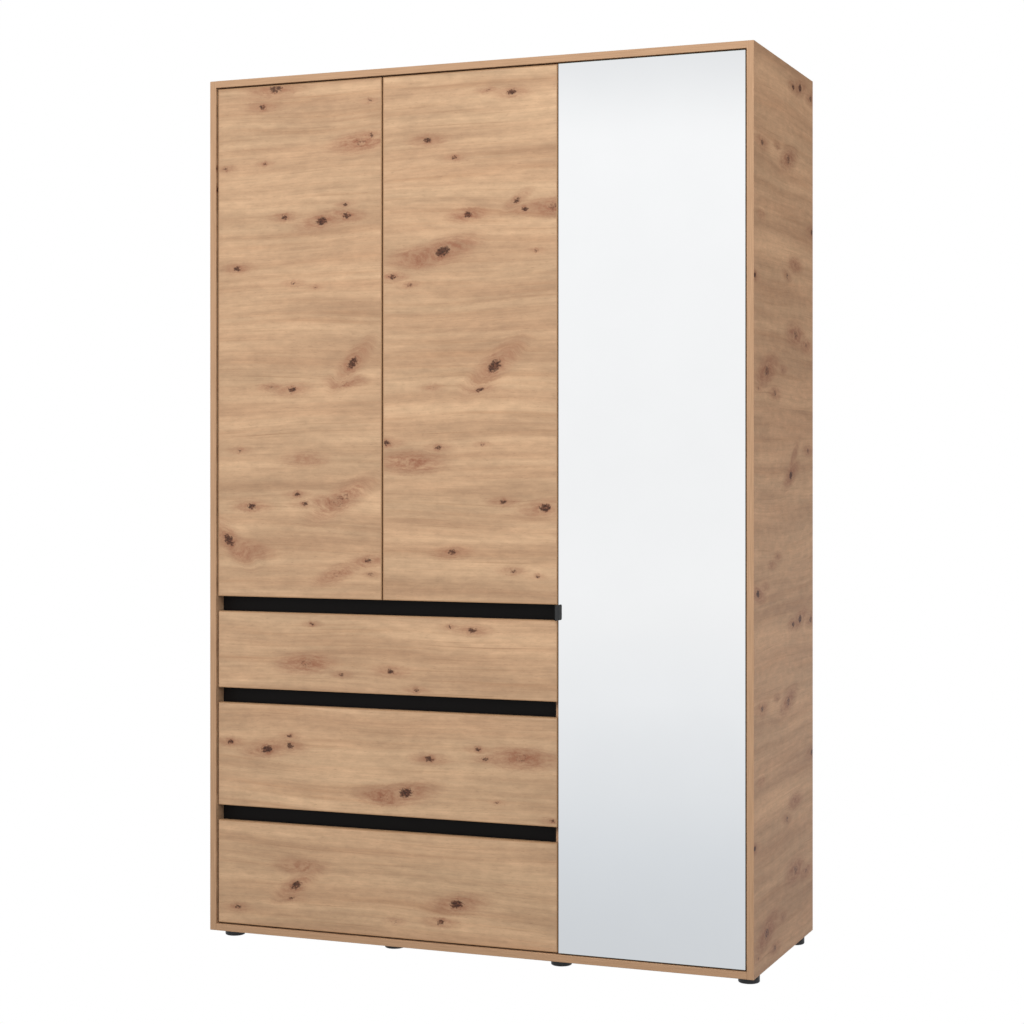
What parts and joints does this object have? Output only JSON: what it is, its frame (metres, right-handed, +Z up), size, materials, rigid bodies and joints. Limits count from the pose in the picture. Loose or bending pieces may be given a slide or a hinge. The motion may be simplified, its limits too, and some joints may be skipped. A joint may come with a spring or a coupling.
{
  "type": "wardrobe with doors",
  "caption": "Free-standing oak-laminate wardrobe with hinged doors over wide drawers, a full-height mirror door and black recessed grips.",
  "frame": {"origin": "centre of the footprint (handle included) on the floor, under the feet", "axes": "+Z up, +Y towards the back, +X to the right as seen from the front; doors and drawers face -Y"},
  "size_m": [1.35, 0.56, 2.067],
  "materials": {
    "oak_laminate": "embossed matt oak laminate on chipboard, ABS edge banding",
    "black_laminate": "matt black laminate",
    "fibreboard": "lacquered 3 mm fibreboard",
    "white_plastic": "extruded plastic",
    "black_plastic": "moulded plastic, fine grain",
    "black_steel": "fine-textured powder coat",
    "mirror": "silvered float glass",
    "nickel_steel": "nickel-plated pressed steel",
    "zinc_steel": "bright zinc plating",
    "chrome": "polished chrome tube"
  },
  "bodies": {
    "carcass": {"side_panel_left": "oak_laminate", "side_panel_right": "oak_laminate", "top_panel": "oak_laminate", "bottom_panel": "oak_laminate", "partition": "oak_laminate", "divider_shelf": "oak_laminate", "grip_rail_top": "black_laminate", "grip_rail_middle": "black_laminate", "grip_rail_bottom": "black_laminate", "back_panel_left": "fibreboard", "back_panel_middle": "fibreboard", "back_panel_right": "fibreboard", "back_joint_strip": "white_plastic", "hat_shelf": "oak_laminate", "hanging_rail": "chrome", "rail_sockets": "chrome", "fixed_shelf": "oak_laminate", "loose_shelf_1": "oak_laminate", "loose_shelf_2": "oak_laminate", "loose_shelf_3": "oak_laminate", "loose_shelf_4": "oak_laminate", "shelf_pins": "zinc_steel", "cam_locks": "zinc_steel", "feet_front": "black_plastic", "feet_rear": "black_plastic", "wall_brackets": "zinc_steel", "door_stops": "black_plastic", "cabinet_runners": "zinc_steel", "hinge_arms_left": "nickel_steel", "hinge_arms_right": "nickel_steel", "hinge_arms_mirror": "nickel_steel"},
    "left_door": {"door_left": "oak_laminate", "hinge_cups_left": "nickel_steel"},
    "right_door": {"door_right": "oak_laminate", "hinge_cups_right": "nickel_steel"},
    "mirror_door": {"mirror_door_panel": "oak_laminate", "mirror_glass": "mirror", "mirror_handle": "black_steel", "handle_screws": "zinc_steel", "hinge_cups_mirror": "nickel_steel"},
    "top_drawer": {"drawer_top_front": "oak_laminate", "drawer_top_sides": "oak_laminate", "drawer_top_back": "oak_laminate", "drawer_top_bottom": "fibreboard", "drawer_top_rails": "zinc_steel"},
    "top_mid_runner": {"drawer_top_mid_rails": "zinc_steel"},
    "middle_drawer": {"drawer_middle_front": "oak_laminate", "drawer_middle_sides": "oak_laminate", "drawer_middle_back": "oak_laminate", "drawer_middle_bottom": "fibreboard", "drawer_middle_rails": "zinc_steel"},
    "middle_mid_runner": {"drawer_middle_mid_rails": "zinc_steel"},
    "bottom_drawer": {"drawer_bottom_front": "oak_laminate", "drawer_bottom_sides": "oak_laminate", "drawer_bottom_back": "oak_laminate", "drawer_bottom_bottom": "fibreboard", "drawer_bottom_rails": "zinc_steel"},
    "bottom_mid_runner": {"drawer_bottom_mid_rails": "zinc_steel"}
  },
  "joints": [
    {"name": "left_door_hinge", "type": "hinge", "parent": "carcass", "child": "left_door", "pos_m": [-0.6435, -0.247, 1.4375], "axis": [0, 0, -1], "range_deg": [0, 105]},
    {"name": "right_door_hinge", "type": "hinge", "parent": "carcass", "child": "right_door", "pos_m": [0.20533, -0.247, 1.4375], "axis": [0, 0, 1], "range_deg": [0, 105]},
    {"name": "mirror_door_hinge", "type": "hinge", "parent": "carcass", "child": "mirror_door", "pos_m": [0.6355, -0.247, 1.0445], "axis": [0, 0, 1], "range_deg": [0, 105]},
    {"name": "top_drawer_slide", "type": "slide", "parent": "carcass", "child": "top_drawer", "axis": [0, -1, 0], "range_m": [0, 0.48]},
    {"name": "top_runner_slide", "type": "slide", "parent": "carcass", "child": "top_mid_runner", "axis": [0, -1, 0], "range_m": [0, 0.24]},
    {"name": "middle_drawer_slide", "type": "slide", "parent": "carcass", "child": "middle_drawer", "axis": [0, -1, 0], "range_m": [0, 0.48]},
    {"name": "middle_runner_slide", "type": "slide", "parent": "carcass", "child": "middle_mid_runner", "axis": [0, -1, 0], "range_m": [0, 0.24]},
    {"name": "bottom_drawer_slide", "type": "slide", "parent": "carcass", "child": "bottom_drawer", "axis": [0, -1, 0], "range_m": [0, 0.48]},
    {"name": "bottom_runner_slide", "type": "slide", "parent": "carcass", "child": "bottom_mid_runner", "axis": [0, -1, 0], "range_m": [0, 0.24]}
  ],
  "couplings": [
    {"joint": "top_runner_slide", "follows": "top_drawer_slide", "ratio": 0.5},
    {"joint": "middle_runner_slide", "follows": "middle_drawer_slide", "ratio": 0.5},
    {"joint": "bottom_runner_slide", "follows": "bottom_drawer_slide", "ratio": 0.5}
  ]
}
